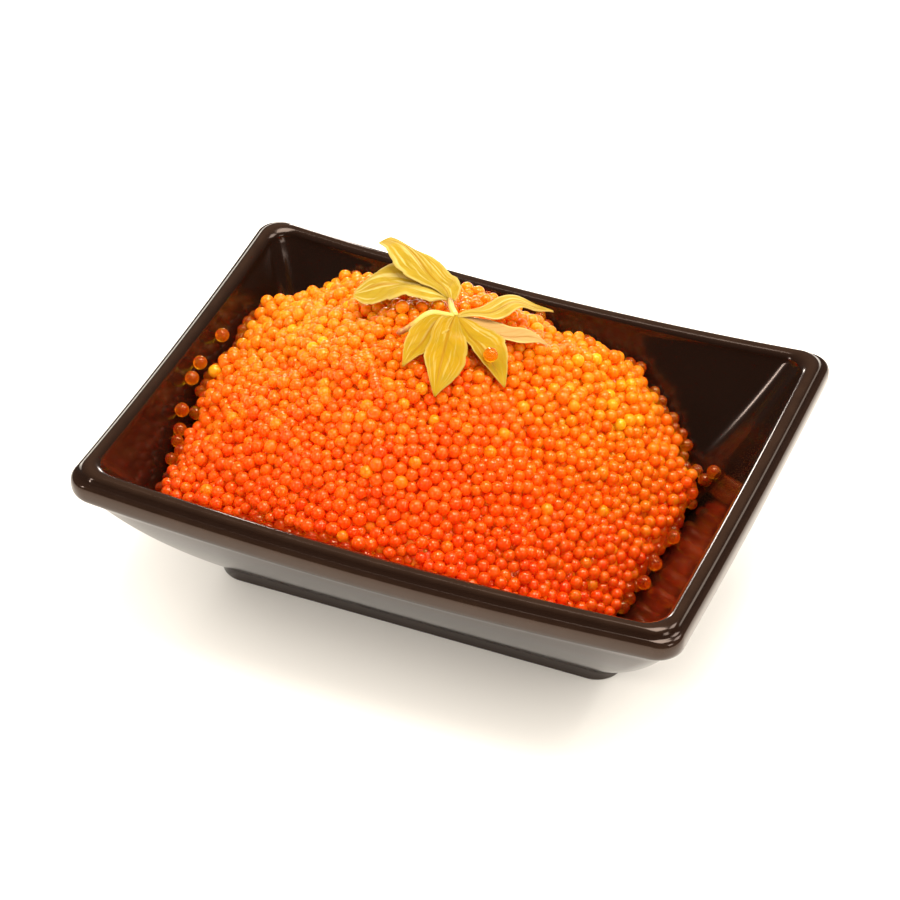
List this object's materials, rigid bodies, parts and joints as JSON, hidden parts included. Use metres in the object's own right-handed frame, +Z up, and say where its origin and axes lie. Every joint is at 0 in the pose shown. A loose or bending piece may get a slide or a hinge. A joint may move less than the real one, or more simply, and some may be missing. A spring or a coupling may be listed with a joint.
{
  "type": "bowl of flying fish roe",
  "caption": "Small rectangular dark glazed dish with flared walls and a low foot, heaped with orange fish roe and topped with a sprig of yellow leaf.",
  "frame": {"origin": "middle of the dish's footprint, on the surface that its foot stands on", "axes": "+X along the dish's long side, towards the end that the heap leaves free; +Y towards the back long wall; +Z up"},
  "size_m": [0.0842, 0.0632, 0.0377],
  "materials": {
    "dark_glaze": "glossy dark brown glaze, browner where it thins at the rim",
    "orange_roe": "wet, glossy, translucent orange eggs",
    "yellow_leaf": "soft satin yellow leaf with paler edges"
  },
  "bodies": {
    "root": {"dish": "dark_glaze", "roe_heap": "orange_roe", "leaf_sprig": "yellow_leaf"}
  },
  "joints": []
}
